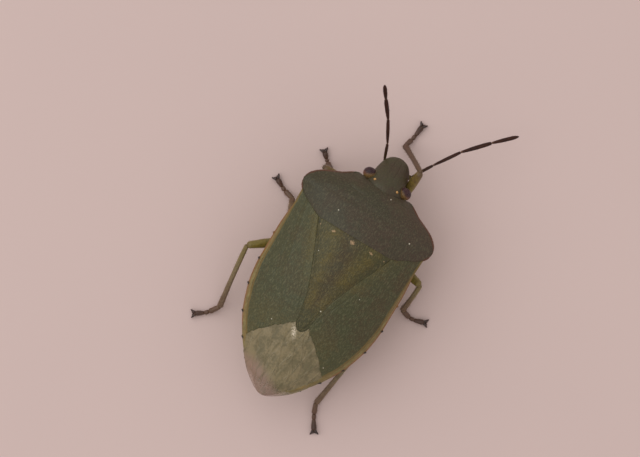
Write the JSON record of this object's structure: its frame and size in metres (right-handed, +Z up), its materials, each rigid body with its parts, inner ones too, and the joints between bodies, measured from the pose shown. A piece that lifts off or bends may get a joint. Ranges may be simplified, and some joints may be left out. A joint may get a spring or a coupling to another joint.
{
  "type": "green shield bug",
  "caption": "Life-size still model of a green shield bug, walking, with its wings folded and one feeler raised.",
  "frame": {"origin": "middle of the plan, on the floor that the feet stand on", "axes": "+Y points the way the bug faces, +X to its right, +Z up from the floor"},
  "size_m": [0.0118, 0.0202, 0.0068],
  "materials": {
    "head": "finely pitted dark olive shell with a soft gloss",
    "pronotum": "finely pitted dark olive shell with a soft gloss",
    "scutellum": "finely pitted olive brown shell with a row of pale dots along its base",
    "corium": "leathery dark green wing with pale pits",
    "membrane": "smoky wing membrane with raised veins",
    "belly": "yellow green shell, paler than the back",
    "eye": "dark purple brown faceted eye",
    "leg": "olive green thighs and shins with purple brown feet",
    "antenna": "brown black with pale narrow joints"
  },
  "bodies": {
    "root": {"head": "head", "rostrum": "belly", "pronotum": "pronotum", "scutellum": "scutellum", "thorax": "belly", "abdomen": "belly", "eye_left": "eye", "antenna_left": "antenna", "corium_left": "corium", "membrane_left": "membrane", "leg_front_left": "leg", "leg_middle_left": "leg", "leg_hind_left": "leg", "eye_right": "eye", "antenna_right": "antenna", "corium_right": "corium", "membrane_right": "membrane", "leg_front_right": "leg", "leg_middle_right": "leg", "leg_hind_right": "leg"}
  },
  "joints": []
}
